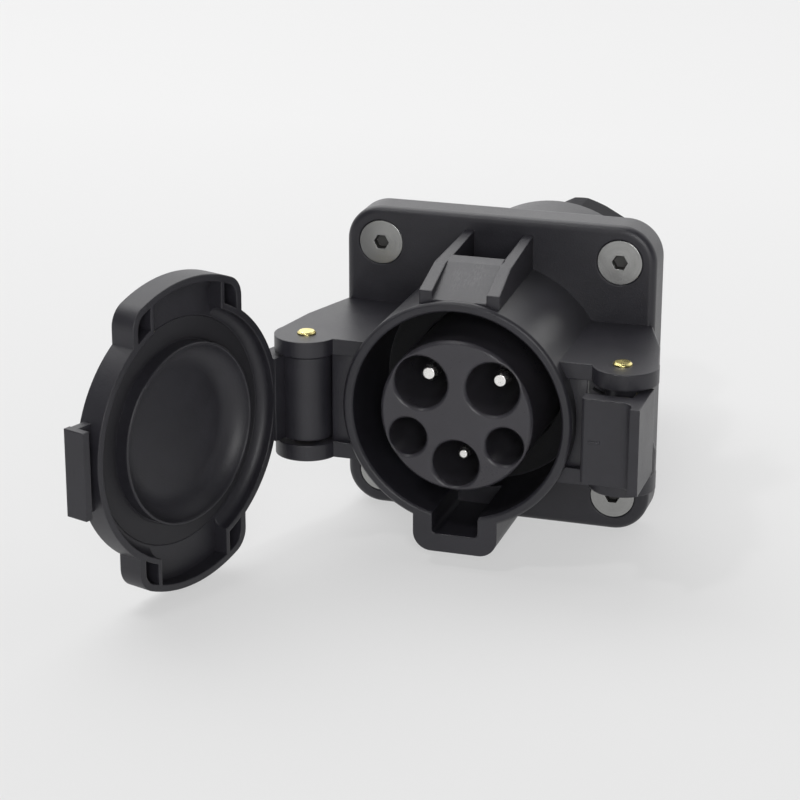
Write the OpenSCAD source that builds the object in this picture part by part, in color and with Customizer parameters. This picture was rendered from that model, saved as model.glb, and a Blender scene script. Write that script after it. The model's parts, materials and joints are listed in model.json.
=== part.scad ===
// Five-contact vehicle charge inlet with a hinged lid, a sprung latch lever,
// a square panel flange and a rear housing that ends in a cable gland.
// Origin: centre of the flange's panel face. Front is -Y, +Z is up, hinge at -X.

/* [Flange] */
// Side of the square flange
flange_w = 70; // [66:1:84]
// Thickness of the flange
flange_t = 8; // [6:0.5:12]
// Corner radius of the flange
flange_corner_r = 8; // [5:0.5:8]
// Rounding of the flange's front edge
flange_edge_r = 1.6; // [0.8:0.2:2.4]
// Distance between the corner screws, both ways
screw_pitch = 54; // [53:0.5:56]

/* [Barrel] */
// Outer diameter of the barrel
barrel_d = 50.2; // [49.6:0.2:51.6]
// Wall of the barrel
barrel_wall = 2.2; // [1.8:0.1:2.6]
// Length of the barrel in front of the flange
barrel_len = 32.8; // [31:0.2:38]
// Depth of the ring groove that the plug's sleeve enters
groove_depth = 26; // [22:0.5:28]
// Thickness of the ledge at the end of the groove
ledge_t = 6; // [5:0.5:7]
// Small chamfer on the rim
rim_chamfer = 0.5; // [0.2:0.1:0.8]

/* [Key boss and hook ramp] */
// Width of the key boss under the barrel
boss_w = 18.6; // [16.6:0.2:20]
// How far the boss's underside lies below the barrel's axis
boss_drop = 31.1; // [30:0.1:32]
// Length of the boss along the barrel
boss_len = 22; // [12:1:26]
// Corner radius of the boss
boss_r = 4; // [2:0.5:5]
// Width of the key slot
slot_w = 10.2; // [8:0.2:11]
// How far the slot's floor lies below the barrel's axis
slot_drop = 27; // [26:0.2:28.5]
// Half the clear width between the two hook ribs
rib_inner = 5.9; // [5:0.1:6.4]
// Thickness of a hook rib at its front end
rib_front_t = 2.8; // [2:0.1:3.2]
// Thickness of a hook rib at the flange
rib_back_t = 1.8; // [1.2:0.1:2.4]
// Height of the hook ribs over the axis, at the flange
rib_top = 31.4; // [30:0.2:33]
// Height of the ramp's crest over the axis
ramp_top = 30.6; // [29:0.2:31]
// Distance from the rim to the ramp's crest
ramp_run = 16; // [12:0.5:18]

/* [Hinge brackets] */
// Distance of the hinge pin and of the brackets' ears from the axis, sideways
pin_x = 35; // [35:0.2:37]
// How far the latch pin sits inwards of its ear's centre
latch_inset = 0.7; // [0:0.1:1]
// Distance of the two pins in front of the flange
pin_reach = 27.3; // [26:0.2:28]
// Diameter of the two pins
pin_d = 4; // [3:0.2:4.4]
// How far a pin stands out of its bracket plates
pin_proud = 0.6; // [0.2:0.1:1]
// Height over both bracket plates
bracket_h = 26.8; // [25.8:0.2:28]
// Thickness of a bracket plate
bracket_t = 3.5; // [2.6:0.1:3.6]
// Radius of the rounded ear at a pin
ear_r = 7; // [6:0.2:7.6]
// Straight front edge of a bracket plate, in front of the flange
bracket_reach = 29.5; // [28.5:0.1:29.6]

/* [Contacts] */
// Diameter of the insulator that carries the contacts
insulator_d = 33.4; // [32:0.2:33.4]
// Sideways place of the two line contacts
line_x = 7.85; // [7.4:0.05:8.2]
// Height of the two line contacts
line_z = 6.8; // [6.4:0.05:7.2]
// Drop of the earth contact
earth_z = 10.6; // [10.2:0.05:10.8]
// Sideways place of the two signal contacts
signal_x = 10.65; // [10.4:0.05:11]
// Drop of the two signal contacts
signal_z = 5.6; // [5.2:0.05:6]
// Diameter of a line contact
line_d = 3.6; // [3:0.1:4]
// Diameter of the earth contact
earth_d = 2.8; // [2.4:0.1:3.2]
// Diameter of a signal contact
signal_d = 1.5; // [1.2:0.1:2]
// Diameter of the well round a line contact
line_well_d = 11.6; // [11:0.1:11.8]
// Diameter of the well round the earth contact
earth_well_d = 10.2; // [9.6:0.1:10.4]
// Diameter of the well round a signal contact
signal_well_d = 8.3; // [7.6:0.1:8.4]
// Depth of the contact wells
well_depth = 25; // [20:0.5:25]
// How far the power contacts end behind the insulator's face
tip_recess = 6.3; // [5:0.1:8]
// How far the signal contacts end behind the insulator's face
signal_recess = 12; // [10:0.5:14]
// Thickness of the insulator's base and of the contact retainer
base_t = 4; // [3.6:0.2:4.2]
// How far the insulator's base stands out round its body
base_step = 4.7; // [4.4:0.1:5]
// Height of a contact's collar over its shaft
collar_step = 1.4; // [1:0.1:1.6]
// Thickness of a contact's collar
collar_t = 1.6; // [1:0.1:2]
// Wall of a contact's wire cup
cup_wall = 0.8; // [0.5:0.1:1]
// Length of a contact's wire cup behind the base
cup_len = 12; // [8:0.5:14]

/* [Lid] */
// Angle between the lid as photographed and the closed lid
lid_open = 109.3; // [95:0.1:115]
// Outer radius of the lid's round skirt
lid_r = 28.1; // [27.8:0.1:28.3]
// Radius of the bulged top and bottom of the lid
bulge_r = 33.5; // [33.1:0.1:34.5]
// Width of the bulges
bulge_w = 33.2; // [32:0.2:34]
// Corner radius of the bulges
bulge_corner_r = 5; // [4:0.5:6]
// Wall of the skirt
skirt_wall = 1.5; // [1.2:0.1:1.6]
// Half the clear width between the thin ribs in a bulge
bay_half = 10.3; // [10:0.1:11]
// Thickness of those ribs
bay_rib_t = 1; // [0.8:0.1:1.4]
// Thickness of the lid's plate
lid_plate_t = 2.5; // [2.2:0.1:2.8]
// Radius of the plug ring that enters the barrel's groove
plug_r = 19.4; // [19:0.1:20]
// Wall of the plug ring at its crest
plug_wall = 0.7; // [0.6:0.1:1]
// Depth of the bowl's floor below the plate
dish_depth = 1; // [0.9:0.1:1.2]
// Radius of the sweep from the bowl's floor to the plug ring
bowl_sweep_r = 5.4; // [4.4:0.2:5.6]
// Radius between the skirt and the plate
skirt_fillet = 2.2; // [1.4:0.1:2.4]
// Radius between the upper bulge and the plate
bay_fillet = 1.6; // [1:0.1:2]
// Width of the lid gasket
gasket_w = 4.6; // [4:0.1:4.8]
// Thickness of the lid gasket
gasket_t = 1.2; // [1:0.1:1.4]
// Radius of the hinge knuckle
knuckle_r = 5.6; // [5.2:0.1:6]
// How far the catch reaches past the hinge axis, across the lid
catch_reach = 66.9; // [66.4:0.1:67]
// Thickness of the catch's end wall
catch_wall = 1.7; // [1.4:0.1:1.8]

/* [Latch lever] */
// Distance of the lever's front face in front of the latch pin
latch_reach = 12; // [11.6:0.1:13]
// How far the lever's nose reaches inwards from the latch pin
latch_nose = 5.8; // [5:0.1:6.4]
// How far the lever's side lies outwards from the latch pin
latch_side = 7.2; // [6.6:0.1:7.6]
// Thickness of the lever's nose
nose_t = 3.5; // [3:0.1:3.6]
// Thickness of the lever's side wall
side_t = 3; // [2.4:0.1:3]
// How far the finger lip stands out of the front face
lip_reach = 3.8; // [3:0.1:5]
// Radius between the front face and the finger lip
lip_fillet = 2.6; // [1.6:0.1:2.8]
// Thickness of the finger lip
lip_t = 2.1; // [1.6:0.1:2.4]
// Radius of the lever's hub
hub_r = 3.4; // [3.2:0.1:3.5]

/* [Rear housing and gland] */
// Outer diameter of the rear housing behind its collar
rear_d = 51; // [46:0.5:56]
// Length of the rear housing behind the panel face
rear_len = 48; // [40:1:60]
// Wall of the rear housing
rear_wall = 1.8; // [1.6:0.1:1.9]
// Length of the spigot behind the panel face
spigot_len = 10; // [9:0.5:14]
// Wall of the spigot under its seal
spigot_wall = 1; // [0.8:0.1:1.4]
// Depth of the recess in the panel face that the rear housing's collar seats in
seat_recess = 1; // [0.6:0.1:1.4]
// Wall of the gland neck
neck_wall = 3; // [2.6:0.1:3.4]
// Length of the gland neck
neck_len = 18; // [16:0.5:22]
// Width of the gland nut over its flats
nut_af = 35; // [32:0.5:40]
// Wall of the gland nut at its flats
nut_wall = 2.2; // [1.8:0.1:2.6]
// Length of the gland nut's hexagon
nut_len = 24; // [23:0.5:32]
// Length of the gland nut's dome
nut_dome = 8; // [6:0.5:10]
// Diameter of the cable passage
cable_d = 18; // [14:0.5:18]
// Length of the sealing bush
bush_len = 18; // [14:0.5:20]

/* [Fasteners and springs] */
// Diameter of the corner screws
screw_d = 5; // [4:0.5:5]
// Diameter of a corner screw's head
screw_head_d = 10; // [9:0.2:10.4]
// Length of a corner screw, head included
screw_len = 20; // [16:1:30]
// Key size of the corner screws
screw_key = 3; // [2.5:0.5:4]
// Diameter of the retainer screws
retainer_screw_d = 2.5; // [2:0.1:2.8]
// Wire of the two torsion springs
wire_d = 0.8; // [0.6:0.1:0.9]
// Turns of the lid spring
lid_turns = 6; // [4:1:7]
// Turns of the latch spring
latch_turns = 7; // [4:1:8]

/* [Clearances] */
// Gap between pieces that slide past or nest in each other
gap = 0.3; // [0.2:0.05:0.4]
// Gap of a running pin or a fitted shank, on the radius
run_gap = 0.05; // [0.02:0.01:0.08]

/* [Hidden] */
$fn = 96;
eps = 0.02;

plastic = "#26272a";
rubber = "#17181a";
core = "#303136";
brass = "#c9a24a";
silver = "#c9cbce";
zinc = "#a9acae";
steel = "#8d9094";

barrel_r = barrel_d / 2;
bore_r = barrel_r - barrel_wall;
rim_y = -flange_t - barrel_len;
ledge_front_y = rim_y + groove_depth;
ledge_back_y = ledge_front_y + ledge_t;
insulator_r = insulator_d / 2;
ledge_bore_r = insulator_r + gap;

base_r = insulator_r + base_step;
spigot_bore_r = base_r + gap;
seal_wire_r = 0.75;
seal_seat_r = spigot_bore_r + spigot_wall;
spigot_r = seal_seat_r + 2 * seal_wire_r - gap;
collar_in_r = spigot_r + gap;
collar_out_r = collar_in_r + rear_wall;
retainer_screw_r = (ledge_bore_r + base_r) / 2;
base_back_y = ledge_back_y + base_t;
retainer_back_y = base_back_y + base_t;
seal_y = spigot_len - 4;

pin_y = -flange_t - pin_reach;
latch_x = pin_x - latch_inset;
pin_r = pin_d / 2;
bracket_y = -flange_t - bracket_reach;
plate_gap = bracket_h - 2 * bracket_t;
swing_h = plate_gap - 4 * gap;

rim_n = rim_y - pin_y;
plate_n = rim_n - gap;
lid_back_n = plate_n - lid_plate_t;
skirt_n = bracket_y - pin_y - gap;
plug_n = skirt_n - 0.1;
lid_in_r = lid_r - skirt_wall;
crest_r = plug_wall / 2;
floor_n = plate_n - dish_depth;
bowl_rise = plug_n - crest_r - floor_n;
bowl_mid_r = plug_r - plug_wall + run_gap - sqrt(bowl_rise * (2 * bowl_sweep_r - bowl_rise));
gasket_seat_n = plate_n - gasket_t + gap / 3;
gasket_in_r = plug_r + gap;

side_in = latch_side - side_t;

coil_steps = 16;
coil_pitch = wire_d * 1.08;
lid_coil_r = pin_r + gap + wire_d * 0.75;
latch_coil_r = pin_r + run_gap + wire_d * 0.65;
spring_lift = 2 * gap + wire_d;

neck_r = nut_af / 2 - nut_wall - gap;
neck_bore_r = neck_r - neck_wall;
neck_end_y = rear_len + neck_len;
nut_start_y = rear_len + 2;
nut_hex_end_y = nut_start_y + nut_len;
nut_end_y = nut_hex_end_y + nut_dome;
bush_r = neck_bore_r - gap;
bush_end_y = neck_end_y + 6;
claw_len = 8;
claw_land = 2.5;
claw_tip = 1.2;
claw_in_r = bush_r + gap;
head_edge = 0.1;
thread_drop = 0.25;
mouth_r = cable_d / 2 + 1.5;

function unit(v) = v / norm(v);

// Draws an outline in X and Z and pushes it forward from the plane y
module forward(y, len) {
  translate([0, y, 0]) rotate([90, 0, 0]) linear_extrude(len) children();
}

// Turns a profile of radius and forward distance about the Y axis
module turned(y) {
  translate([0, y, 0]) rotate([90, 0, 0]) rotate_extrude() children();
}

// Turns a profile of radius and rearward distance about the Y axis
module turned_back(y) {
  translate([0, y, 0]) rotate([-90, 0, 0]) rotate_extrude() children();
}

// Draws an outline in Y and Z and pushes it along X, centred
module sideways(width) {
  rotate([90, 0, 90]) linear_extrude(width, center = true) children();
}

module place_corners() {
  for (x = [-1, 1], z = [-1, 1]) translate([x * screw_pitch / 2, 0, z * screw_pitch / 2]) children();
}

module mirror_x() {
  children();
  mirror([1, 0, 0]) children();
}

module mirror_z() {
  children();
  mirror([0, 0, 1]) children();
}

// Cross-section of the flange with its front edge rounded
module flange_section(half_w) {
  translate([-half_w, -flange_t + flange_edge_r]) square([2 * half_w, flange_t - flange_edge_r]);
  flat_w = half_w - flange_edge_r;
  translate([-flat_w, -flange_t]) square([2 * flat_w, flange_t]);
  for (x = [-flat_w, flat_w]) translate([x, -flange_t + flange_edge_r]) circle(flange_edge_r);
}

module flange_corner() {
  rotate([90, 0, 0]) rotate_extrude() intersection() {
    mirror([0, 1]) flange_section(flange_corner_r);
    translate([0, -1]) square([flange_w, flange_w]);
  }
}

module flange_plate() {
  straight = flange_w - 2 * flange_corner_r;
  linear_extrude(straight, center = true) flange_section(flange_w / 2);
  rotate([0, 90, 0]) linear_extrude(straight, center = true) flange_section(flange_w / 2);
  for (x = [-1, 1], z = [-1, 1]) translate([x * straight / 2, 0, z * straight / 2]) flange_corner();
}

// One bracket plate seen from above: a straight front edge, an ear at the pin
// and an outer edge that runs back to the flange
module bracket_outline(hole_x) {
  root_x = insulator_r;
  tail_x = flange_w / 2 - 0.3;
  waist_x = (pin_x + ear_r + tail_x) / 2 + 1;
  difference() {
    union() {
      polygon([
        [root_x, bracket_y], [pin_x - ear_r / 2, bracket_y], [pin_x, pin_y], [pin_x + ear_r, pin_y],
        [waist_x, (pin_y - flange_t) / 2], [tail_x, -flange_t + eps], [root_x, -flange_t + eps]
      ]);
      translate([pin_x, pin_y]) circle(ear_r);
    }
    translate([hole_x, pin_y]) circle(pin_r + run_gap);
  }
}

module bracket_plates() {
  mirror_z() translate([0, 0, plate_gap / 2]) linear_extrude(bracket_t) {
    mirror([1, 0, 0]) bracket_outline(pin_x);
    bracket_outline(latch_x);
  }
}

// The two ribs on top of the barrel and the ramp that a plug's hook climbs
module hook_ramp() {
  front_y = rim_y + 1.8;
  rib_foot = bore_r - 1;
  rib_plan = [
    [rib_inner, front_y], [rib_inner + rib_front_t, front_y],
    [rib_inner + rib_back_t, -flange_t + eps], [rib_inner - 0.3, -flange_t + eps]
  ];
  mirror_x() intersection() {
    linear_extrude(2 * rib_top) polygon(rib_plan);
    sideways(4 * rib_top) polygon([
      [front_y, rib_foot], [front_y, barrel_r + 1.5], [rim_y + ramp_run * 0.75, rib_top - 1.4],
      [-flange_t + eps, rib_top], [-flange_t + eps, rib_foot]
    ]);
  }
  sideways(2 * rib_inner + eps) polygon([
    [front_y - 0.4, rib_foot], [front_y - 0.4, barrel_r - 0.2], [rim_y + ramp_run - 3, ramp_top - 0.6],
    [rim_y + ramp_run, ramp_top], [rim_y + ramp_run, rib_foot]
  ]);
}

// Outline of the boss that holds the plug's key
module boss_outline(half_w, drop, r) {
  translate([-half_w, r - drop]) square([2 * half_w, drop - r - bore_r / 2]);
  translate([r - half_w, -drop]) square([2 * (half_w - r), drop - bore_r / 2]);
  for (x = [-1, 1]) translate([x * (half_w - r), r - drop]) circle(r);
}

module corner_hole() {
  turned(-flange_t) polygon([
    [0, eps], [screw_head_d / 2 + gap / 3, eps], [screw_head_d / 2 + gap / 3, -gap / 3 - head_edge],
    [screw_d / 2 + run_gap, -gap / 3 - head_edge - (screw_head_d - screw_d) / 2],
    [screw_d / 2 + run_gap, -flange_t - 1], [0, -flange_t - 1]
  ]);
}

module front_housing() {
  rim_out = barrel_r - rim_chamfer;
  color(plastic) difference() {
    union() {
      flange_plate();
      turned(0) polygon([
        [0, 0], [barrel_r, 0], [barrel_r, -rim_y - rim_chamfer], [rim_out, -rim_y], [0, -rim_y]
      ]);
      turned_back(-eps) square([spigot_r, spigot_len + eps]);
      bracket_plates();
      hook_ramp();
      forward(rim_y + boss_len, boss_len) boss_outline(boss_w / 2, boss_drop, boss_r);
    }
    turned(ledge_front_y) polygon([
      [0, 0], [bore_r, 0], [bore_r, groove_depth - rim_chamfer], [bore_r + rim_chamfer, groove_depth + eps],
      [0, groove_depth + eps]
    ]);
    turned(ledge_back_y) square([ledge_bore_r, ledge_t + eps]);
    turned_back(ledge_back_y) square([spigot_bore_r, spigot_len + flange_t + barrel_len]);
    forward(rim_y + boss_len - 2, boss_len) boss_outline(slot_w / 2, slot_drop, 1);
    place_corners() corner_hole();
    turned_back(seal_y - seal_wire_r - gap / 2) translate([seal_seat_r, 0])
      square([5, 2 * seal_wire_r + gap]);
    turned_back(-seat_recess) translate([spigot_r, 0])
      square([collar_out_r + gap - spigot_r, seat_recess + eps]);
    for (a = [90, 210, 330]) rotate([0, a, 0]) translate([retainer_screw_r, 0, 0])
      turned(ledge_back_y + eps) square([retainer_screw_d / 2 + run_gap, ledge_t - 0.8]);
    translate([-pin_x + lid_coil_r, pin_y, -plate_gap / 2 - bracket_t * 0.6])
      cylinder(r = wire_d / 2 + run_gap, h = bracket_t);
  }
}

// A turned contact: rounded tip, shaft, collar behind the base and a wire cup
module contact(d, recess, tip_flat) {
  tip_y = rim_y + recess;
  shaft_len = base_back_y - tip_y;
  collar_r = d / 2 + collar_step;
  cup_r = d / 2 + cup_wall;
  nose = (d - tip_flat) / 2;
  turned_back(tip_y) polygon([
    [0, 0], [tip_flat / 2, 0], [d / 2, nose * 1.4], [d / 2, shaft_len], [collar_r, shaft_len],
    [collar_r, shaft_len + collar_t], [cup_r, shaft_len + collar_t], [cup_r, shaft_len + cup_len],
    [d / 2, shaft_len + cup_len], [d / 2, shaft_len + base_t + 1], [0, shaft_len + base_t + 1]
  ]);
}

// Through holes for the contacts: shaft bores in the base
module contact_places() {
  translate([-line_x, 0, line_z]) children(0);
  translate([line_x, 0, line_z]) children(0);
  translate([0, 0, -earth_z]) children(1);
  translate([-signal_x, 0, -signal_z]) children(2);
  translate([signal_x, 0, -signal_z]) children(2);
}

module well(well_d, shaft_d) {
  lip = 0.5;
  turned(base_back_y + 1) polygon([
    [0, 0], [shaft_d / 2 + run_gap, 0], [shaft_d / 2 + run_gap, base_back_y + 1 - rim_y - well_depth],
    [well_d / 2, base_back_y + 1 - rim_y - well_depth], [well_d / 2, base_back_y + 1 - rim_y - lip],
    [well_d / 2 + lip, base_back_y + 1 - rim_y + eps], [0, base_back_y + 1 - rim_y + eps]
  ]);
}

module base_screw_holes(r) {
  for (a = [90, 210, 330]) rotate([0, a, 0]) translate([retainer_screw_r, 0, 0])
    turned_back(ledge_back_y - 1) square([r, 4 * base_t]);
}

module contact_insulator() {
  face = -rim_y + base_back_y;
  color(core) difference() {
    turned(base_back_y) polygon([
      [0, 0], [base_r, 0], [base_r, base_t], [insulator_r, base_t], [insulator_r, face - 0.6],
      [insulator_r - 0.6, face], [0, face]
    ]);
    contact_places() {
      well(line_well_d, line_d);
      well(earth_well_d, earth_d);
      well(signal_well_d, signal_d);
    }
    base_screw_holes(retainer_screw_d / 2 + run_gap);
  }
}

module line_contact_left() {
  color(silver) translate([-line_x, 0, line_z]) contact(line_d, tip_recess, line_d * 0.7);
}

module line_contact_right() {
  color(silver) translate([line_x, 0, line_z]) contact(line_d, tip_recess, line_d * 0.7);
}

module earth_contact() {
  color(silver) translate([0, 0, -earth_z]) contact(earth_d, tip_recess, earth_d * 0.6);
}

module pilot_contact() {
  color(silver) translate([-signal_x, 0, -signal_z]) contact(signal_d, signal_recess, signal_d * 0.6);
}

module proximity_contact() {
  color(silver) translate([signal_x, 0, -signal_z]) contact(signal_d, signal_recess, signal_d * 0.6);
}

// Room for one contact's collar and wire cup in the retainer
module tail_room(d) {
  collar_r = d / 2 + collar_step + gap;
  cup_r = d / 2 + cup_wall + gap;
  turned_back(base_back_y - eps) polygon([
    [0, 0], [collar_r, 0], [collar_r, collar_t + eps], [cup_r, collar_t + eps], [cup_r, base_t + 1],
    [0, base_t + 1]
  ]);
}

module contact_retainer() {
  color(core) difference() {
    turned_back(base_back_y) polygon([
      [0, 0], [base_r, 0], [base_r, base_t - 0.5], [base_r - 0.5, base_t], [0, base_t]
    ]);
    contact_places() {
      tail_room(line_d);
      tail_room(earth_d);
      tail_room(signal_d);
    }
    base_screw_holes(retainer_screw_d / 2 + run_gap);
  }
}

module retainer_screws() {
  shank = 2 * base_t + ledge_t - 1.4;
  head_r = min(retainer_screw_d * 0.85, base_r - retainer_screw_r - 0.1);
  color(zinc) for (a = [90, 210, 330]) rotate([0, a, 0]) translate([retainer_screw_r, 0, 0]) difference() {
    turned_back(retainer_back_y - shank) polygon([
      [0, 0], [retainer_screw_d / 2 - 0.4, 0], [retainer_screw_d / 2, 0.6], [retainer_screw_d / 2, shank],
      [head_r, shank], [head_r, shank + 1.2], [head_r - 0.4, shank + 1.6], [0, shank + 1.6]
    ]);
    for (turn = [0, 90]) rotate([0, turn, 0])
      translate([0, retainer_back_y + 1.6, 0]) cube([head_r * 1.2, 1.6, 0.5], center = true);
  }
}

// Turns the lid from its closed place to the photographed one
module lid_place() {
  translate([-pin_x, pin_y, 0]) rotate([0, 0, -lid_open]) children();
}

// Outline of one bulge: an arc round the lid's centre with rounded corners
module bulge(r, half_w, corner_r) {
  corner_z = sqrt(pow(r - corner_r, 2) - pow(half_w - corner_r, 2));
  reach = 1.2 * r / (r - corner_r);
  intersection() {
    circle(r);
    polygon([
      [0, 0], [reach * (half_w - corner_r), reach * corner_z],
      [-reach * (half_w - corner_r), reach * corner_z]
    ]);
  }
  translate([-half_w, 0]) square([2 * half_w, corner_z]);
  for (x = [-1, 1]) translate([x * (half_w - corner_r), corner_z]) circle(corner_r);
}

module lid_outline() {
  circle(lid_r);
  for (turn = [0, 180]) rotate(turn) bulge(bulge_r, bulge_w / 2, bulge_corner_r);
}

// Space inside a bulge: an open bay between the ribs and a pocket in each corner
module bulge_room() {
  inner_w = bulge_w / 2 - skirt_wall;
  pocket_x = bay_half + bay_rib_t;
  intersection() {
    bulge(bulge_r - skirt_wall, inner_w, bulge_corner_r - skirt_wall);
    translate([-bay_half, 0]) square([2 * bay_half, bulge_r]);
  }
  for (side = [-1, 1]) intersection() {
    difference() {
      bulge(bulge_r - skirt_wall, inner_w, bulge_corner_r - skirt_wall);
      circle(lid_r - 0.3);
    }
    translate([side > 0 ? pocket_x : -pocket_x - bulge_w, 0]) square([bulge_w, bulge_r]);
  }
}

module lid_room() {
  circle(lid_in_r);
  for (turn = [0, 180]) rotate(turn) bulge_room();
}

// Profile of the bowl in the lid's middle, in radius and height
module bowl_room() {
  translate([0, floor_n]) square([bowl_mid_r, skirt_n - floor_n]);
  translate([bowl_mid_r, floor_n + bowl_sweep_r]) circle(bowl_sweep_r);
}

// Profile of the plug ring with a rounded crest, filled to the middle
module plug_boss() {
  translate([0, plate_n - eps]) square([plug_r, plug_n - crest_r - plate_n + eps]);
  translate([plug_r - crest_r, plug_n - crest_r]) circle(crest_r);
}

// A hollow fillet in the corner between the plate and a wall of radius r
module wall_fillet(r, fillet) {
  nip = 0.03;
  turned_back(0) difference() {
    translate([r - fillet, plate_n - 2 * eps]) square([fillet + 2 * eps, fillet + 2 * eps]);
    translate([r - fillet + nip, plate_n + fillet - nip]) circle(fillet);
  }
}

module lid_fillets() {
  bay = 2 * bay_half;
  difference() {
    wall_fillet(lid_in_r, skirt_fillet);
    translate([-bay_half, -bulge_r, -bulge_r]) cube([bay, 2 * bulge_r, 2 * bulge_r]);
  }
  intersection() {
    wall_fillet(bulge_r - skirt_wall, bay_fillet);
    translate([-bay_half - eps, -bulge_r, 0]) cube([bay + 2 * eps, 2 * bulge_r, bulge_r]);
  }
}

// The catch on the lid's free side: a foot and an end wall with a gap behind it
module lid_catch() {
  half_h = swing_h / 2;
  foot_n = lid_back_n + 1;
  inner_x = catch_reach - catch_wall;
  translate([pin_x + lid_in_r, foot_n, -half_h]) cube([catch_reach - pin_x - lid_in_r, 2, 2 * half_h]);
  translate([inner_x, foot_n - 0.4, -half_h]) cube([catch_wall, skirt_n - foot_n + 0.4, 2 * half_h]);
}

module lid_arm() {
  half_h = swing_h / 2;
  cylinder(r = knuckle_r, h = swing_h, center = true);
  translate([0, lid_back_n + 0.6, -half_h]) cube([pin_x - lid_in_r, -lid_back_n - 2.6, swing_h]);
}

// Counterbore in the foot of the knuckle for the lid spring
module lid_spring_room() {
  room_h = (lid_turns + 2) * coil_pitch;
  translate([0, 0, -swing_h / 2 - 1]) cylinder(r = lid_coil_r + wire_d / 2 + gap, h = room_h + 1);
}

module lid() {
  crown = 1.2;
  color(plastic) lid_place() difference() {
    union() {
      translate([pin_x, 0, 0]) {
        difference() {
          forward(skirt_n, skirt_n - lid_back_n) lid_outline();
          forward(skirt_n + 1, skirt_n + 1 - plate_n) lid_room();
        }
        turned_back(0) plug_boss();
        lid_fillets();
        turned(lid_back_n + eps) polygon([[0, 0], [lid_in_r - 3, 0], [lid_in_r - 4, crown], [0, crown]]);
      }
      lid_catch();
      lid_arm();
    }
    translate([pin_x, 0, 0]) turned_back(0) bowl_room();
    translate([pin_x, 0, 0]) turned_back(gasket_seat_n)
      translate([gasket_in_r - run_gap, 0]) square([gasket_w + 2 * run_gap, gasket_t]);
    cylinder(r = pin_r + run_gap, h = bracket_h, center = true);
    lid_spring_room();
  }
}

module lid_gasket() {
  color(rubber) lid_place() translate([pin_x, 0, 0]) turned_back(gasket_seat_n)
    translate([gasket_in_r, 0]) square([gasket_w, gasket_t - gap / 3]);
}

module pin(x) {
  half_h = bracket_h / 2 + pin_proud;
  chamfer = pin_proud * 0.6;
  translate([x, pin_y, 0]) rotate_extrude() polygon([
    [0, -half_h], [pin_r - chamfer, -half_h], [pin_r, chamfer - half_h], [pin_r, half_h - chamfer],
    [pin_r - chamfer, half_h], [0, half_h]
  ]);
}

module hinge_pin() {
  color(brass) pin(-pin_x);
}

module latch_pin() {
  color(brass) pin(latch_x);
}

// A round wire swept along points. aside points away from the coil's axis at each
module wire(points, aside, r) {
  sides = 10;
  last = len(points) - 1;
  function heading(i) = unit(points[min(i + 1, last)] - points[max(i - 1, 0)]);
  function across(i) = unit(aside[i] - (aside[i] * heading(i)) * heading(i));
  function ring(i) = [
    for (k = [0 : sides - 1])
      let (a = 360 * k / sides) points[i] + r * (cos(a) * across(i) + sin(a) * cross(across(i), heading(i)))
  ];
  rings = [for (i = [0 : last]) each ring(i)];
  walls = [
    for (i = [0 : last - 1], k = [0 : sides - 1])
      let (a = i * sides + k, b = i * sides + (k + 1) % sides) [a, b, b + sides, a + sides]
  ];
  start_cap = [for (k = [sides - 1 : -1 : 0]) k];
  end_cap = [for (k = [0 : sides - 1]) last * sides + k];
  polyhedron(rings, concat(walls, [start_cap, end_cap]));
}

// Directions away from the Z axis along a coil that starts on +X
function coil_aside(turns) = [
  for (i = [0 : round(turns * coil_steps)]) let (a = 360 * i / coil_steps) [cos(a), sin(a), 0]
];

function coil_points(r, turns) = let (aside = coil_aside(turns)) [
  for (i = [0 : len(aside) - 1]) r * aside[i] + [0, 0, coil_pitch * i / coil_steps]
];

// Where a straight leg ends that leaves the coil's last point along its tangent
function leg_end(points, aside, length) = let (out = aside[len(aside) - 1])
  points[len(points) - 1] + length * [-out.y, out.x, 0];

// The lid spring sits in the knuckle, with one leg down in the lower plate
module lid_spring() {
  points = coil_points(lid_coil_r, lid_turns + 0.5);
  aside = coil_aside(lid_turns + 0.5);
  foot = [lid_coil_r, 0, -spring_lift - bracket_t / 2];
  path = concat([foot], points, [leg_end(points, aside, wire_d)]);
  color(steel) translate([-pin_x, pin_y, spring_lift - plate_gap / 2])
    wire(path, concat([aside[0]], aside, [aside[len(aside) - 1]]), wire_d / 2);
}

// Plan of the latch lever about its pin: hub, side wall, nose and finger lip
module latch_plan() {
  front = -latch_reach;
  side_back = -hub_r + 0.4;
  lip_in = latch_side - lip_t;
  circle(hub_r);
  translate([0, -hub_r]) square([latch_side, 2]);
  translate([side_in, front]) square([side_t, side_back - front]);
  difference() {
    union() {
      translate([-latch_nose, front]) square([latch_nose + latch_side, nose_t]);
      translate([lip_in, front - lip_reach]) square([lip_t, lip_reach + nose_t]);
      translate([lip_in - lip_fillet, front - lip_fillet]) square([lip_fillet, lip_fillet + 1]);
    }
    translate([lip_in - lip_fillet, front - lip_fillet]) circle(lip_fillet);
    translate([-latch_nose, front]) rotate(45) square(1, center = true);
  }
}

module latch_lever() {
  room_h = (latch_turns + 2) * coil_pitch;
  mark = 0.25;
  color(plastic) translate([latch_x, pin_y, 0]) {
    difference() {
      linear_extrude(swing_h, center = true) latch_plan();
      cylinder(r = pin_r + run_gap, h = bracket_h, center = true);
      translate([-hub_r - gap, -hub_r - gap, -room_h / 2])
        cube([side_in + hub_r + gap, 2 * (hub_r + gap), room_h]);
    }
    translate([-latch_nose / 2, -latch_reach, 0]) rotate([0, 90, 0])
      cylinder(r = mark, h = 2.4, center = true);
  }
}

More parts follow.
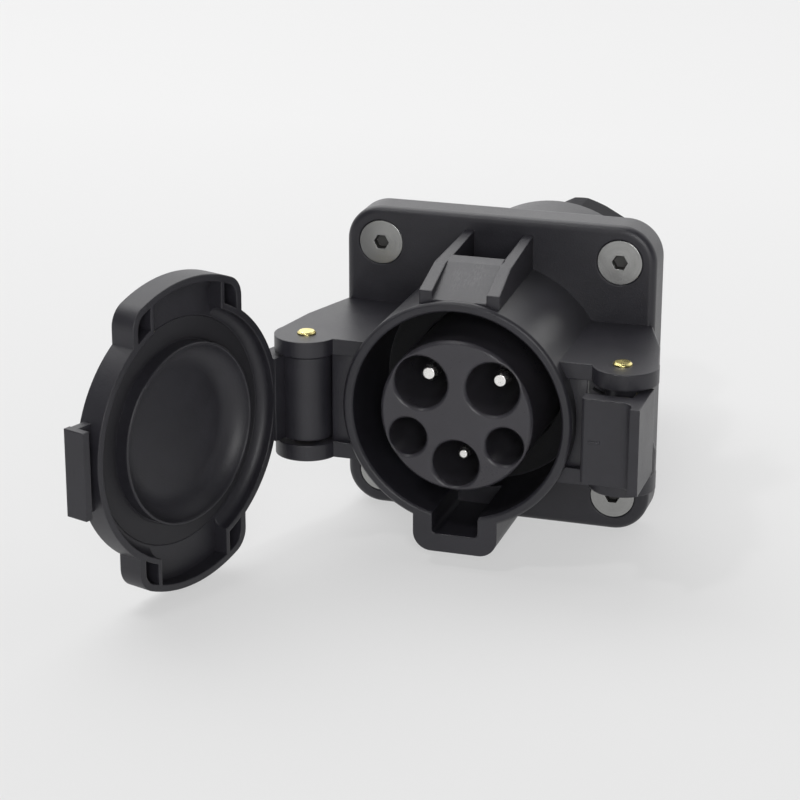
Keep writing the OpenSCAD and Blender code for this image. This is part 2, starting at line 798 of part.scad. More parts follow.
// The latch spring fills the gap in the lever's hub and leans on the barrel
module latch_spring() {
  turns = latch_turns + 1 / 8;
  points = coil_points(latch_coil_r, turns);
  aside = coil_aside(turns);
  end = points[len(points) - 1];
  span = (latch_x + end.x - barrel_r - wire_d / 2 - run_gap) / aside[len(aside) - 1].y;
  inner_leg = points[0] - [0, latch_reach / 2, 0];
  path = concat([inner_leg], points, [leg_end(points, aside, span)]);
  color(steel) translate([latch_x, pin_y, -coil_pitch * turns / 2])
    wire(path, concat([aside[0]], aside, [aside[len(aside) - 1]]), wire_d / 2);
}

module corner_screws() {
  head_depth = (screw_head_d - screw_d) / 2;
  thread_r = screw_d / 2 - thread_drop;
  panel_h = flange_t - gap / 3;
  color(zinc) place_corners() difference() {
    turned_back(-flange_t + gap / 3) polygon([
      [0, 0], [screw_head_d / 2 - head_edge, 0], [screw_head_d / 2, head_edge], [screw_d / 2, head_depth],
      [screw_d / 2, panel_h], [thread_r, panel_h], [thread_r, screw_len - 0.6], [thread_r - 0.6, screw_len],
      [0, screw_len]
    ]);
    forward(-flange_t + gap / 3 + screw_key * 0.7, screw_len) circle(screw_key / sqrt(3), $fn = 6);
  }
}

// The rear housing: a collar over the spigot, a round body and the gland neck
module rear_housing() {
  r = rear_d / 2;
  in_r = r - rear_wall;
  collar_end = spigot_len + gap;
  shoulder = 4;
  end_t = 3;
  color(plastic) turned_back(0) polygon([
    [collar_in_r, -seat_recess], [collar_out_r - 0.4, -seat_recess], [collar_out_r, 0.4 - seat_recess],
    [collar_out_r, collar_end], [r, collar_end + rear_wall], [r, rear_len - shoulder],
    [r - 1.2, rear_len - 1.2], [r - shoulder, rear_len], [neck_r, rear_len], [neck_r, neck_end_y - 0.8],
    [neck_r - 0.8, neck_end_y], [neck_bore_r, neck_end_y], [neck_bore_r, rear_len], [mouth_r, rear_len],
    [mouth_r, rear_len - end_t], [in_r - shoulder, rear_len - end_t], [in_r, rear_len - end_t - shoulder],
    [in_r, collar_end + rear_wall], [collar_in_r, collar_end]
  ]);
}

module housing_seal() {
  seat_r = (seal_seat_r + collar_in_r) / 2;
  color(rubber) turned_back(seal_y) translate([seat_r, 0]) circle(seal_wire_r - 0.02);
}

// The rubber bush that grips the cable, with two lips at its outer end
module gland_seal() {
  start = bush_end_y - bush_len;
  color(rubber) turned_back(start) difference() {
    polygon([
      [cable_d / 2, 0], [bush_r, 0], [bush_r, bush_len - 3], [bush_r - 1, bush_len], [cable_d / 2, bush_len]
    ]);
    for (h = [bush_len - 2.2, bush_len - 4.6]) translate([bush_r + 0.5, h]) circle(0.7);
  }
}

// The slotted ring whose fingers the nut bends onto the bush
module gland_claw() {
  fingers = 10;
  color(core) difference() {
    turned_back(neck_end_y) polygon([
      [claw_in_r, 0], [neck_r - 0.6, 0], [neck_r - 0.6, claw_land], [claw_in_r + claw_tip, claw_len],
      [claw_in_r, claw_len]
    ]);
    for (i = [0 : fingers - 1]) rotate([0, 360 * i / fingers, 0])
      translate([0, neck_end_y + 2, -0.6]) cube([neck_r, claw_len, 1.2]);
  }
}

module gland_nut() {
  corner_r = nut_af / sqrt(3);
  thread_r = neck_r + gap;
  round_r = corner_r - 0.9;
  dome_r = nut_af / 2 - 4;
  nut_turn = 28.5;
  color(plastic) difference() {
    union() {
      intersection() {
        rotate([0, nut_turn, 0]) forward(nut_hex_end_y + 1, nut_len + 2) circle(corner_r, $fn = 6);
        turned_back(nut_start_y) polygon([
          [0, 0], [nut_af / 2 + 0.3, 0], [round_r, 1.4], [round_r, nut_len - 2.2],
          [nut_af / 2 + 0.3, nut_len], [0, nut_len]
        ]);
      }
      turned_back(nut_hex_end_y - eps) polygon([
        [0, 0], [nut_af / 2 - 1, 0], [nut_af / 2 - 1.6, nut_dome * 0.45], [dome_r, nut_dome], [0, nut_dome]
      ]);
    }
    turned_back(nut_start_y - 1) polygon([
      [0, 0], [thread_r, 0], [thread_r, neck_end_y + claw_land + 2 * gap - nut_start_y + 1],
      [claw_in_r + 2 * claw_tip, neck_end_y + claw_len + 4 * gap - nut_start_y],
      [mouth_r + 1, nut_len + nut_dome - 1],
      [mouth_r + 1, nut_len + nut_dome + 2], [0, nut_len + nut_dome + 2]
    ]);
  }
}

front_housing();
contact_insulator();
line_contact_left();
line_contact_right();
earth_contact();
pilot_contact();
proximity_contact();
contact_retainer();
retainer_screws();
lid();
lid_gasket();
hinge_pin();
lid_spring();
latch_lever();
latch_pin();
latch_spring();
corner_screws();
rear_housing();
housing_seal();
gland_seal();
gland_claw();
gland_nut();
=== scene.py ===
import json
import math

import bpy
from mathutils import Matrix, Vector


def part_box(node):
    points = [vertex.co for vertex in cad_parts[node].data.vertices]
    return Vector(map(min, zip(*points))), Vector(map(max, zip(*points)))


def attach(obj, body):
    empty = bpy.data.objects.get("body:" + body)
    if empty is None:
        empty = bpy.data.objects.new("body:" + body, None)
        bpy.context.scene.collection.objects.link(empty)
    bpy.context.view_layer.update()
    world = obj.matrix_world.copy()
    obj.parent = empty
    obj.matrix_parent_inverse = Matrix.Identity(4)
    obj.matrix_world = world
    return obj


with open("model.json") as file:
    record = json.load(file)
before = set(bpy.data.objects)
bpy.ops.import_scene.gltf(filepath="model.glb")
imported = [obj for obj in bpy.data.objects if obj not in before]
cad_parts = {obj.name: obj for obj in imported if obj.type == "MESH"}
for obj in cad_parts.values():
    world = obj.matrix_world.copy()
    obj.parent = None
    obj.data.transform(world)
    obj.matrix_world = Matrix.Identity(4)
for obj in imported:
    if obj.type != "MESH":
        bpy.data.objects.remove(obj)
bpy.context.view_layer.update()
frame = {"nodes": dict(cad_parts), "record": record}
bpy.ops.object.select_all(action="DESELECT")
print("frame loaded:", len(frame["nodes"]), "nodes")


# Camera, in metres and degrees, fitted to the photographed inlet
shot = {
    "place": (0.1397, -0.5254, 0.1807),
    "azimuth": 17.41,
    "elevation": 19.34,
    "roll": 0.13,
    "lens": 114.5,
    "sensor": 36.0,
    "clipStart": 0.01,
}


def addCamera():
    turn, tilt, roll = (math.radians(shot[k]) for k in ("azimuth", "elevation", "roll"))
    back = Vector((math.sin(turn) * math.cos(tilt), -math.cos(turn) * math.cos(tilt), math.sin(tilt)))
    right = Vector((math.cos(turn), math.sin(turn), 0))
    up = back.cross(right)
    rolledRight = right * math.cos(roll) + up * math.sin(roll)
    rolledUp = up * math.cos(roll) - right * math.sin(roll)
    pose = Matrix((rolledRight, rolledUp, back)).transposed().to_4x4()
    pose.translation = shot["place"]
    bpy.ops.object.camera_add()
    camera = bpy.context.object
    camera.name = "photoCamera"
    camera.matrix_world = pose
    camera.data.sensor_width = shot["sensor"]
    camera.data.lens = shot["lens"]
    camera.data.clip_start = shot["clipStart"]
    bpy.context.scene.camera = camera


addCamera()
bpy.context.scene.view_settings.view_transform = "Standard"
print("camera set")


# A socket of a node tree that takes part in plain sums
class Wire:
    def __init__(self, finish, socket):
        self.finish = finish
        self.socket = socket

    def sum(self, operation, first, second):
        return self.finish.node("ShaderNodeMath", {"operation": operation}, {0: first, 1: second})

    def __add__(self, other):
        return self.sum("ADD", self, other)

    def __radd__(self, other):
        return self.sum("ADD", other, self)

    def __sub__(self, other):
        return self.sum("SUBTRACT", self, other)

    def __rsub__(self, other):
        return self.sum("SUBTRACT", other, self)

    def __mul__(self, other):
        return self.sum("MULTIPLY", self, other)

    def __rmul__(self, other):
        return self.sum("MULTIPLY", other, self)

    def __pow__(self, other):
        return self.sum("POWER", self, other)

    def __rpow__(self, other):
        return self.sum("POWER", other, self)


# Samples of the nodes that look round a point, and how far the normal turns from a face to an edge
edgeLook = {"samples": 6, "turnRange": (0.01, 0.18)}


# The nodes of a material or of the world, written as expressions
class Finish:
    def __init__(self, owner):
        owner.use_nodes = True
        self.owner = owner
        self.tree = owner.node_tree

    # Any node: its type, its settings, what its sockets get, and which output is wanted
    def node(self, kind, settings, inputs, output=0):
        made = self.tree.nodes.new(kind)
        for name, value in settings.items():
            setattr(made, name, value)
        for name, value in inputs.items():
            self.feed(made.inputs[name], value)
        return Wire(self, made.outputs[output])

    def feed(self, socket, value):
        if isinstance(value, Wire):
            self.tree.links.new(value.socket, socket)
        else:
            socket.default_value = value

    def set(self, **values):
        names = {"color": "Base Color", "roughness": "Roughness", "metallic": "Metallic", "normal": "Normal",
                 "specular": "Specular IOR Level"}
        for name, value in values.items():
            self.feed(self.tree.nodes["Principled BSDF"].inputs[names[name]], value)
        return self.owner

    # Object coordinates in millimetres
    def millimetres(self):
        place = self.node("ShaderNodeTexCoord", {}, {}, "Object")
        return self.node("ShaderNodeVectorMath", {"operation": "SCALE"}, {"Vector": place, "Scale": 1000.0})

    def stretch(self, place, scale):
        return self.node("ShaderNodeMapping", {}, {"Vector": place, "Scale": scale})

    def noise(self, place, scale, detail=2.0, roughness=0.5):
        return self.node("ShaderNodeTexNoise", {},
                         {"Vector": place, "Scale": scale, "Detail": detail, "Roughness": roughness}, "Fac")

    # How far a noise lies above or below its middle
    def swing(self, noise):
        return noise - 0.5

    def spread(self, value, low, high):
        return self.node("ShaderNodeMapRange", {"clamp": True},
                         {"Value": value, "From Min": low, "From Max": high}, "Result")

    def blend(self, amount, first, second):
        first, second = ((*color, 1.0) if isinstance(color, tuple) else color for color in (first, second))
        return self.node("ShaderNodeMix", {"data_type": "RGBA"}, {"Factor": amount, 6: first, 7: second}, 2)

    def axes(self, vector):
        parts = self.node("ShaderNodeSeparateXYZ", {}, {0: vector}).socket.node
        return [Wire(self, out) for out in parts.outputs]

    def size(self, value):
        return self.node("ShaderNodeMath", {"operation": "ABSOLUTE"}, {0: value})

    def facing(self):
        return self.node("ShaderNodeNewGeometry", {}, {}, "Normal")

    # 1 on open faces and outside edges, less in inside corners
    def open(self, reach):
        return self.node("ShaderNodeAmbientOcclusion", {"samples": edgeLook["samples"], "only_local": True},
                         {"Distance": reach}, "AO")

    # Edges rounded in the shading, by a radius in metres
    def softEdge(self, radius):
        return self.node("ShaderNodeBevel", {"samples": edgeLook["samples"]}, {"Radius": radius}, "Normal")

    # The true normal in inside corners, the rounded one elsewhere
    def keepInside(self, outside, rounded):
        return self.node("ShaderNodeMix", {"data_type": "VECTOR"},
                         {"Factor": outside, 4: self.facing(), 5: rounded}, 1)

    # 0 on flat faces, up to 1 along edges
    def edgeMask(self, rounded):
        match = self.node("ShaderNodeVectorMath", {"operation": "DOT_PRODUCT"},
                          {0: rounded, 1: self.facing()}, "Value")
        return self.spread(1.0 - match, *edgeLook["turnRange"])

    def bump(self, height, depth, normal):
        return self.node("ShaderNodeBump", {}, {"Height": height, "Distance": depth, "Normal": normal})


# Spark-eroded black plastics; grain depth and edge radius in metres
housingLook = {
    "dark": (0.0148, 0.0142, 0.0184),
    "light": (0.0212, 0.0204, 0.0262),
    "worn": (0.042, 0.0405, 0.05),
    "roughness": 0.39,
    "grainPerMm": 2.6,
    "grainDepth": 0.00004,
    "edgeRadius": 0.0005,
    "edgeGloss": 0.1,
    "specular": 0.5,
}
lidLook = {**housingLook, "roughness": 0.48}
nutLook = {
    **housingLook,
    "dark": (0.0112, 0.0108, 0.0136),
    "light": (0.0164, 0.0158, 0.02),
    "roughness": 0.68,
    "grainDepth": 0.00006,
    "specular": 0.16,
}
insulatorLook = {
    "dark": (0.031, 0.0294, 0.0352),
    "light": (0.0405, 0.0385, 0.0455),
    "worn": (0.072, 0.07, 0.08),
    "roughness": 0.3,
    "grainPerMm": 3.2,
    "grainDepth": 0.000016,
    "edgeRadius": 0.0006,
    "edgeGloss": 0.22,
    "specular": 0.5,
}

# What the plastics share: clouds, flecks and dust by the millimetre, and worn edges
plasticLook = {
    "cloud": {"scale": 0.11, "detail": 5.0, "roughness": 0.6},
    "cloudRange": (0.3, 0.7),
    "cloudGloss": 0.12,
    "grain": {"detail": 3.0, "roughness": 0.65},
    "grainGloss": 0.1,
    "flecksPerGrain": 2.3,
    "fleckDetail": 1.0,
    "fleckRange": (0.62, 0.74),
    "fleckShare": 0.16,
    "dust": {"scale": 0.55, "detail": 6.0, "roughness": 0.75},
    "dustRange": (0.56, 0.78),
    "dustShare": 0.1,
    "dustMatte": 0.06,
    "cornerReach": 0.0015,
    "cornerRange": (0.72, 0.95),
    "edgeShare": 0.2,
    "dustyEdgeShare": 0.4,
}


def mouldedPlastic(name, look, wearAndPaintedLight=None):
    finish = Finish(bpy.data.materials.new(name))
    place = finish.millimetres()
    cloud = finish.noise(place, **plasticLook["cloud"])
    grain = finish.noise(place, look["grainPerMm"], **plasticLook["grain"])
    flecksPerMm = look["grainPerMm"] * plasticLook["flecksPerGrain"]
    fleck = finish.spread(finish.noise(place, flecksPerMm, plasticLook["fleckDetail"]), *plasticLook["fleckRange"])
    dust = finish.spread(finish.noise(place, **plasticLook["dust"]), *plasticLook["dustRange"])
    rounded = finish.softEdge(look["edgeRadius"])
    outside = finish.spread(finish.open(plasticLook["cornerReach"]), *plasticLook["cornerRange"])
    edge = finish.edgeMask(rounded) * outside
    rounded = finish.keepInside(outside, rounded)
    body = finish.blend(finish.spread(cloud, *plasticLook["cloudRange"]), look["dark"], look["light"])
    specks = fleck * plasticLook["fleckShare"] + dust * plasticLook["dustShare"]
    body = finish.blend(specks, body, look["worn"])
    rubbedEdge = edge * (plasticLook["edgeShare"] + plasticLook["dustyEdgeShare"] * dust)
    body = finish.blend(rubbedEdge, body, look["worn"])
    rough = look["roughness"] + plasticLook["cloudGloss"] * finish.swing(cloud)
    rough = rough + plasticLook["grainGloss"] * finish.swing(grain)
    rough = rough - look["edgeGloss"] * edge + plasticLook["dustMatte"] * dust
    if wearAndPaintedLight:
        body, rough, grain = wearAndPaintedLight(finish, place, body, rough, grain)
    normal = finish.bump(grain, look["grainDepth"], rounded)
    return finish.set(color=body, roughness=rough, normal=normal, specular=look["specular"])


# Where a plug's hook slides up the ramp: scuffs, painted lighter so that they also stand in for the ramp's
# highlight, in millimetres
scuffAndHighlightLook = {
    "centre": 0.6,
    "halfWidth": 5.6,
    "sideFade": 2.4,
    "front": -39.5,
    "frontFade": 5.0,
    "back": -26.0,
    "backFade": 1.5,
    "foot": 24.6,
    "footFade": 0.8,
    "stretch": (2.6, 0.45, 0.45),
    "lines": {"scale": 1.6, "detail": 5.0, "roughness": 0.75},
    "lineRange": (0.42, 0.72),
    "patch": {"scale": 0.2, "detail": 3.0},
    "patchRange": (0.34, 0.62),
    "color": (0.11, 0.108, 0.115),
    "markShare": 0.85,
    "polish": 0.5,
}


def hookScuffAndHighlight(finish, place):
    x, y, z = finish.axes(place)
    side, front, back, foot = (scuffAndHighlightLook[k] for k in ("halfWidth", "front", "back", "foot"))
    streaks = finish.stretch(place, scuffAndHighlightLook["stretch"])
    lines = finish.spread(finish.noise(streaks, **scuffAndHighlightLook["lines"]), *scuffAndHighlightLook["lineRange"])
    patch = finish.spread(finish.noise(place, **scuffAndHighlightLook["patch"]), *scuffAndHighlightLook["patchRange"])
    across = finish.spread(finish.size(x - scuffAndHighlightLook["centre"]), side, side - scuffAndHighlightLook["sideFade"])
    fromFront = finish.spread(y, front, front + scuffAndHighlightLook["frontFade"])
    fromBack = finish.spread(y, back, back - scuffAndHighlightLook["backFade"])
    above = finish.spread(z, foot, foot + scuffAndHighlightLook["footFade"])
    return lines * patch * across * (fromFront * fromBack) * above


# The bore's walls are painted lighter where they lie in shade, in streaks like plug wear, and its floor is painted
# darker as shade and made rougher, in millimetres
boreLook = {
    "radius": 22.6,
    "radiusFade": 0.3,
    "depthRange": (-4.0, -6.0),
    "stretch": (1.5, 0.06, 1.5),
    "lines": {"scale": 0.9, "detail": 5.0, "roughness": 0.7},
    "lineRange": (0.25, 0.75),
    "floorTurn": (0.5, 0.9),
    "color": (0.075, 0.073, 0.082),
    "markShare": 0.8,
    "floorColor": (0.004, 0.004, 0.005),
    "floorShadeShare": 0.9,
    "floorMatte": 0.4,
}


# Masks of the bore walls painted lighter and of the bore floor painted darker as shade
def boreMasks(finish, place):
    x, y, z = finish.axes(place)
    radius = (x * x + z * z) ** 0.5
    within = finish.spread(radius, boreLook["radius"] + boreLook["radiusFade"], boreLook["radius"])
    inside = within * finish.spread(y, *boreLook["depthRange"])
    streaks = finish.stretch(place, boreLook["stretch"])
    lines = finish.spread(finish.noise(streaks, **boreLook["lines"]), *boreLook["lineRange"])
    flat = finish.spread(finish.size(finish.axes(finish.facing())[1]), *boreLook["floorTurn"])
    return inside * lines * (1.0 - flat), inside * flat


def plugWearAndPaintedLight(finish, place, body, rough, grain):
    scuffAndHighlight = hookScuffAndHighlight(finish, place)
    paintedLightWall, floor = boreMasks(finish, place)
    # Scuff colour lighter than the plastic: worn plastic and also a painted highlight on the ramp
    body = finish.blend(scuffAndHighlight * scuffAndHighlightLook["markShare"], body, scuffAndHighlightLook["color"])
    # Painted light: the shaded bore walls lightened, in streaks like plug wear
    body = finish.blend(paintedLightWall * boreLook["markShare"], body, boreLook["color"])
    # Painted shade: the bore floor darkened
    body = finish.blend(floor * boreLook["floorShadeShare"], body, boreLook["floorColor"])
    return body, rough + boreLook["floorMatte"] * floor, grain - scuffAndHighlightLook["polish"] * scuffAndHighlight


# Soft matte rubber of the seals; grain depth and edge radius in metres
rubberLook = {
    "dark": (0.0125, 0.012, 0.015),
    "light": (0.02, 0.0193, 0.0238),
    "roughness": 0.6,
    "bloom": {"scale": 0.5, "detail": 4.0, "roughness": 0.7},
    "bloomGloss": 0.14,
    "grainPerMm": 4.0,
    "grainDepth": 0.00002,
    "edgeRadius": 0.0002,
}


def sealRubber(name):
    finish = Finish(bpy.data.materials.new(name))
    place = finish.millimetres()
    bloom = finish.noise(place, **rubberLook["bloom"])
    grain = finish.noise(place, rubberLook["grainPerMm"])
    body = finish.blend(bloom, rubberLook["dark"], rubberLook["light"])
    rough = rubberLook["roughness"] + rubberLook["bloomGloss"] * finish.swing(bloom)
    normal = finish.bump(grain, rubberLook["grainDepth"], finish.softEdge(rubberLook["edgeRadius"]))
    return finish.set(color=body, roughness=rough, normal=normal)


# Metals: a clean and a dulled colour
brassLook = {"clean": (0.9, 0.8, 0.36), "dull": (0.62, 0.51, 0.19), "roughness": 0.25}
silverLook = {"clean": (0.98, 0.97, 0.95), "dull": (0.94, 0.93, 0.9), "roughness": 0.2}
springLook = {"clean": (0.42, 0.42, 0.43), "dull": (0.24, 0.23, 0.23), "roughness": 0.34}

# What the metals share: patches of tarnish and scratches; scratch depth and edge radius in metres
metalLook = {
    "patch": {"scale": 0.6, "detail": 5.0, "roughness": 0.7},
    "patchRange": (0.42, 0.75),
    "patchShare": 0.7,
    "patchMatte": 0.16,
    "stretch": (0.6, 0.6, 5.0),
    "scratch": {"scale": 1.8, "detail": 4.0, "roughness": 0.7},
    "scratchShare": 0.3,
    "scratchGloss": 0.1,
    "scratchDepth": 0.00003,
    "edgeRadius": 0.0002,
}


def metal(name, look):
    finish = Finish(bpy.data.materials.new(name))
    place = finish.millimetres()
    patch = finish.spread(finish.noise(place, **metalLook["patch"]), *metalLook["patchRange"])
    scratch = finish.noise(finish.stretch(place, metalLook["stretch"]), **metalLook["scratch"])
    tarnish = patch * metalLook["patchShare"] + metalLook["scratchShare"] * scratch
    body = finish.blend(tarnish, look["clean"], look["dull"])
    rough = look["roughness"] + metalLook["patchMatte"] * patch
    rough = rough + metalLook["scratchGloss"] * finish.swing(scratch)
    normal = finish.bump(scratch, metalLook["scratchDepth"], finish.softEdge(metalLook["edgeRadius"]))
    return finish.set(color=body, metallic=1.0, roughness=rough, normal=normal)


# Corner screws: rings left by turning, and painted shade darkening the key's recess; depth and edge radius in
# metres, the rest in millimetres
screwLook = {
    "clean": (0.46, 0.46, 0.45),
    "dull": (0.25, 0.25, 0.245),
    "recessShade": (0.018, 0.017, 0.016),
    "roughness": 0.24,
    "halfPitch": 27.0,
    "ringsPerMm": 21.0,
    "ringShare": 0.04,
    "bandsPerMm": 2.6,
    "band": {"scale": 1.0, "detail": 4.0, "roughness": 0.7},
    "bandShare": 0.1,
    "bandGloss": 0.12,
    "film": {"scale": 0.32, "detail": 3.0},
    "filmGloss": 0.08,
    "dullShare": 0.5,
    "keyRadius": 1.72,
    "keyFade": (0.2, 0.05),
    "headFace": -7.9,
    "headFade": (0.05, 0.9),
    "recessShadeShare": 0.75,
    "recessMatte": 0.3,
    "ringDepth": 0.00003,
    "edgeRadius": 0.0002,
}


def screwZinc(name):
    finish = Finish(bpy.data.materials.new(name))
    place = finish.millimetres()
    x, y, z = finish.axes(place)
    across = finish.size(x) - screwLook["halfPitch"]
    along = finish.size(z) - screwLook["halfPitch"]
    radius = (across * across + along * along) ** 0.5
    rings = finish.node("ShaderNodeMath", {"operation": "SINE"}, {0: radius * screwLook["ringsPerMm"]})
    outwards = finish.node("ShaderNodeCombineXYZ", {}, {"X": radius * screwLook["bandsPerMm"]})
    band = finish.noise(outwards, **screwLook["band"])
    film = finish.noise(place, **screwLook["film"])
    deep = finish.spread(y, *(screwLook["headFace"] + fade for fade in screwLook["headFade"]))
    recess = deep * finish.spread(radius, *(screwLook["keyRadius"] + fade for fade in screwLook["keyFade"]))
    dulled = screwLook["dullShare"] * band + screwLook["dullShare"] * film
    body = finish.blend(dulled, screwLook["clean"], screwLook["dull"])
    # Painted shade: the key's recess darkened towards black
    body = finish.blend(recess * screwLook["recessShadeShare"], body, screwLook["recessShade"])
    rough = screwLook["roughness"] + screwLook["bandGloss"] * finish.swing(band)
    rough = rough + screwLook["filmGloss"] * finish.swing(film) + screwLook["recessMatte"] * recess
    turned = rings * screwLook["ringShare"] + band * screwLook["bandShare"]
    normal = finish.bump(turned, screwLook["ringDepth"], finish.softEdge(screwLook["edgeRadius"]))
    return finish.set(color=body, metallic=1.0, roughness=rough, normal=normal)


# By slot of the record, with three nodes that have a plastic of their own
materials = {
    "housing_plastic": mouldedPlastic("housingPlastic", housingLook),
    "front_housing": mouldedPlastic("frontPlastic", housingLook, plugWearAndPaintedLight),
    "lid": mouldedPlastic("lidPlastic", lidLook),
    "gland_nut": mouldedPlastic("nutPlastic", nutLook),
    "insulator_plastic": mouldedPlastic("insulatorPlastic", insulatorLook),
    "seal_rubber": sealRubber("sealRubber"),
    "contact_metal": metal("contactSilver", silverLook),
    "pin_brass": metal("pinBrass", brassLook),
    "screw_metal": screwZinc("screwZinc"),
    "spring_steel": metal("springSteel", springLook),
}
print("materials made:", len(materials))

slots = {part["node"]: part["material_slot"] for part in frame["record"]["subparts"]}
for name, piece in frame["nodes"].items():
    piece.data.materials.clear()
    piece.data.materials.append(materials.get(name, materials[slots[name]]))
print("finishes on", len(slots), "nodes")


# Webs between the bracket plates, hollowed round the lid's knuckle and the lever's swing, in metres
webLook = {
    "bracketWeb": {
        "low": (-0.033, -0.0365, -0.00995),
        "high": (-0.0229, -0.0287, 0.00995),
        "pin": (-0.035, -0.0353, 0),
        "clearRadius": 0.0062,
    },
    "latchWeb": {
        "low": (0.0229, -0.0365, -0.00995),
        "high": (0.0278, -0.0348, 0.00995),
        "pin": (0.0343, -0.0353, 0),
        "clearRadius": 0.0071,
    },
}
webCut = {"hollowSides": 128, "hollowHeight": 0.04, "bevel": 0.0003, "bevelSteps": 2}
smoothAngle = math.radians(30)


def addWeb(name, look):
    low, high = Vector(look["low"]), Vector(look["high"])
    bpy.ops.object.select_all(action="DESELECT")
    bpy.ops.mesh.primitive_cylinder_add(vertices=webCut["hollowSides"], radius=look["clearRadius"],
                                        depth=webCut["hollowHeight"], location=look["pin"])
    hollow = bpy.context.object
    bpy.ops.mesh.primitive_cube_add(size=1.0, location=(low + high) / 2, scale=high - low)
    web = bpy.context.object
    web.name = name
    bpy.ops.object.transform_apply(location=True, rotation=True, scale=True)
    cut = web.modifiers.new("swingHollow", "BOOLEAN")
    cut.operation = "DIFFERENCE"
    cut.object = hollow
    bpy.ops.object.modifier_apply(modifier=cut.name)
    soften = web.modifiers.new("softEdges", "BEVEL")
    soften.width = webCut["bevel"]
    soften.segments = webCut["bevelSteps"]
    soften.limit_method = "ANGLE"
    bpy.ops.object.modifier_apply(modifier=soften.name)
    bpy.ops.object.shade_smooth_by_angle(angle=smoothAngle)
    bpy.data.objects.remove(hollow)
    web.data.materials.append(materials["housing_plastic"])
    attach(web, "inlet")


for name, look in webLook.items():
    addWeb(name, look)
print("webs added:", len(webLook))


# Thread ridge wound round the corner screws behind the flange, in metres; fill is its share of the pitch
threadLook = {
    "root": 0.0021,
    "crest": 0.00247,
    "pitch": 0.0008,
    "fill": 0.96,
    "start": 0.0006,
    "endGap": 0.0008,
    "steps": 40,
}


# A triangle with its crest outwards, wound along the screw's axis and closed at both ends
def windRidge():
    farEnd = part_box("corner_screws")[1][1]
    halfWidth = threadLook["fill"] * threadLook["pitch"] / 2
    shape = ((threadLook["root"], -halfWidth), (threadLook["crest"], 0), (threadLook["root"], halfWidth))
    bpy.ops.object.select_all(action="DESELECT")
    bpy.ops.mesh.primitive_circle_add(vertices=3, radius=halfWidth, fill_type="NOTHING")
    ridge = bpy.context.object
    for vertex, (out, along) in zip(ridge.data.vertices, shape):
        vertex.co = (out, threadLook["start"] + along, 0)
    wind = ridge.modifiers.new("wind", "SCREW")
    wind.axis = "Y"
    wind.screw_offset = threadLook["pitch"]
    wind.iterations = int((farEnd - threadLook["endGap"] - threadLook["start"]) / threadLook["pitch"])
    wind.steps = wind.render_steps = threadLook["steps"]
    bpy.ops.object.modifier_apply(modifier=wind.name)
    bpy.ops.object.mode_set(mode="EDIT")
    bpy.ops.mesh.select_all(action="SELECT")
    bpy.ops.mesh.fill_holes(sides=3)
    bpy.ops.mesh.normals_make_consistent(inside=False)
    bpy.ops.object.mode_set(mode="OBJECT")
    bpy.ops.object.shade_smooth_by_angle(angle=smoothAngle)
    ridge.data.materials.append(materials["screw_metal"])
    return ridge


def addThreads():
    ridge = windRidge()
    reach = screwLook["halfPitch"] / 1000.0
    corners = ((-reach, reach), (reach, reach), (reach, -reach), (-reach, -reach))
    for number, (x, z) in enumerate(corners, 1):
        bpy.ops.object.select_all(action="DESELECT")
        ridge.select_set(True)
        bpy.context.view_layer.objects.active = ridge
        bpy.ops.object.duplicate()
        thread = bpy.context.object
        thread.name = "screwThread" + str(number)
        bpy.ops.transform.translate(value=(x, 0, z))
        bpy.ops.object.transform_apply(location=True, rotation=True, scale=True)
        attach(thread, "inlet")
    bpy.data.objects.remove(ridge)


addThreads()
print("screw threads wound")


# Pale floor under the flange's lower edge, in metres; the glow grows along Y over a range in millimetres
stageLook = {
    "floorHeight": -0.0352,
    "floorSize": 12.0,
    "floorColor": (0.8, 0.8, 0.8, 1.0),
    "floorRoughness": 0.75,
    "floorSpecular": 0.1,
    "floorGlow": 0.66,
    "glowNear": (0.74, 0.74, 0.74),
    "glowFar": (0.9, 0.9, 0.9),
    "glowRange": (-160.0, 350.0),
}


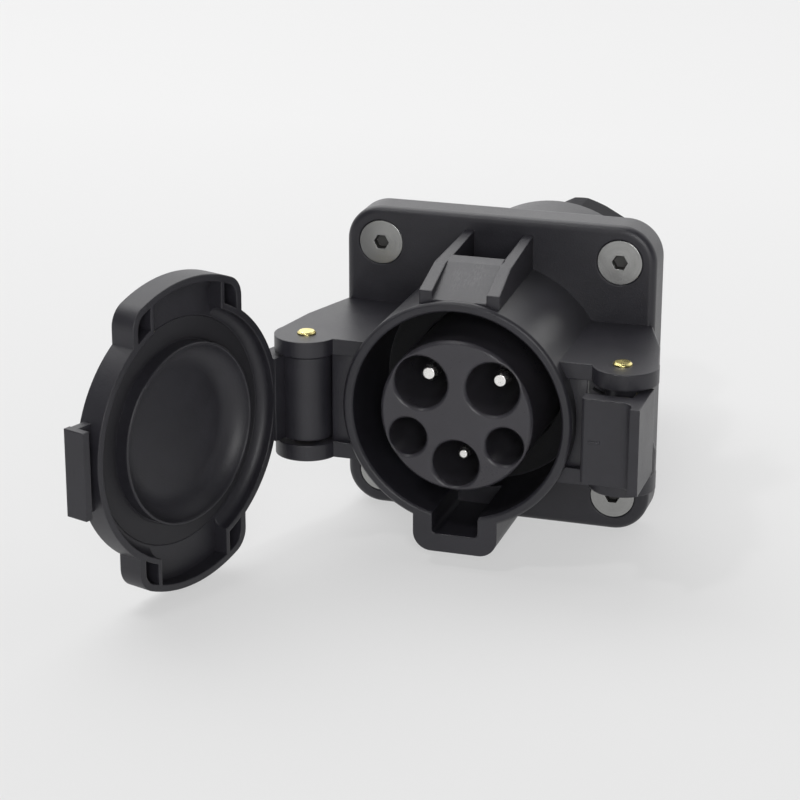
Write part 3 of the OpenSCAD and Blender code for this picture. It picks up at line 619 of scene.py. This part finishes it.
# The floor's own light is there for the camera and for reflections, and its shading keeps the shadow
def addFloor():
    bpy.ops.mesh.primitive_plane_add(size=stageLook["floorSize"], location=(0, 0, stageLook["floorHeight"]))
    floor = bpy.context.object
    floor.name = "studioFloor"
    finish = Finish(bpy.data.materials.new("studioPaper"))
    finish.set(color=stageLook["floorColor"], roughness=stageLook["floorRoughness"],
               specular=stageLook["floorSpecular"])
    away = finish.axes(finish.millimetres())[1]
    farShare = finish.spread(away, *stageLook["glowRange"])
    tint = finish.blend(farShare, stageLook["glowNear"], stageLook["glowFar"])
    glow = finish.node("ShaderNodeEmission", {}, {"Color": tint})
    path = finish.node("ShaderNodeLightPath", {}, {}).socket.node.outputs
    camera, glossy, through = (
        Wire(finish, path[name]) for name in ("Is Camera Ray", "Is Glossy Ray", "Is Transmission Ray"))
    seen = finish.spread(camera + glossy + through, 0.0, 1.0)
    shaded = Wire(finish, finish.tree.nodes["Principled BSDF"].outputs[0])
    paper = finish.node("ShaderNodeMixShader", {}, {0: seen * stageLook["floorGlow"], 1: shaded, 2: glow})
    finish.feed(finish.tree.nodes["Material Output"].inputs["Surface"], paper)
    floor.data.materials.append(finish.owner)


# The room is bright behind the inlet, like a lit paper sweep, and dim behind the camera
roomLook = {"color": (1.0, 1.0, 1.0, 1.0), "front": 0.07, "back": 1.35, "range": (-0.3, 0.85)}


def addRoom():
    room = Finish(bpy.data.worlds.new("studioRoom"))
    depth = room.axes(room.node("ShaderNodeTexCoord", {}, {}, "Generated"))[1]
    low, high = roomLook["range"]
    level = room.node("ShaderNodeMapRange", {"interpolation_type": "SMOOTHSTEP"},
                      {"Value": depth, "From Min": low, "From Max": high,
                       "To Min": roomLook["front"], "To Max": roomLook["back"]}, "Result")
    background = room.tree.nodes["Background"].inputs
    room.feed(background["Color"], roomLook["color"])
    room.feed(background["Strength"], level)
    bpy.context.scene.world = room.owner


# Round lamps aimed at the origin, in metres and watts
lamps = {
    "topSoftBox": {"place": (-0.55, 0.4, 1.2), "size": 1.4, "power": 11.0},
    "cameraFill": {"place": (0.27, -1.0, 0.34), "size": 0.5, "power": 5.0},
    "frontTop": {"place": (-0.35, -0.65, 1.05), "size": 0.12, "power": 2.4},
}


def addLamp(name, lamp):
    bpy.ops.object.light_add(type="AREA", location=lamp["place"])
    light = bpy.context.object
    light.name = name
    light.data.shape = "DISK"
    light.data.size = lamp["size"]
    light.data.energy = lamp["power"]
    aim = -Vector(lamp["place"])
    light.rotation_euler = aim.to_track_quat("-Z", "Y").to_euler()


addFloor()
addRoom()
for name, lamp in lamps.items():
    addLamp(name, lamp)
print("stage lit")
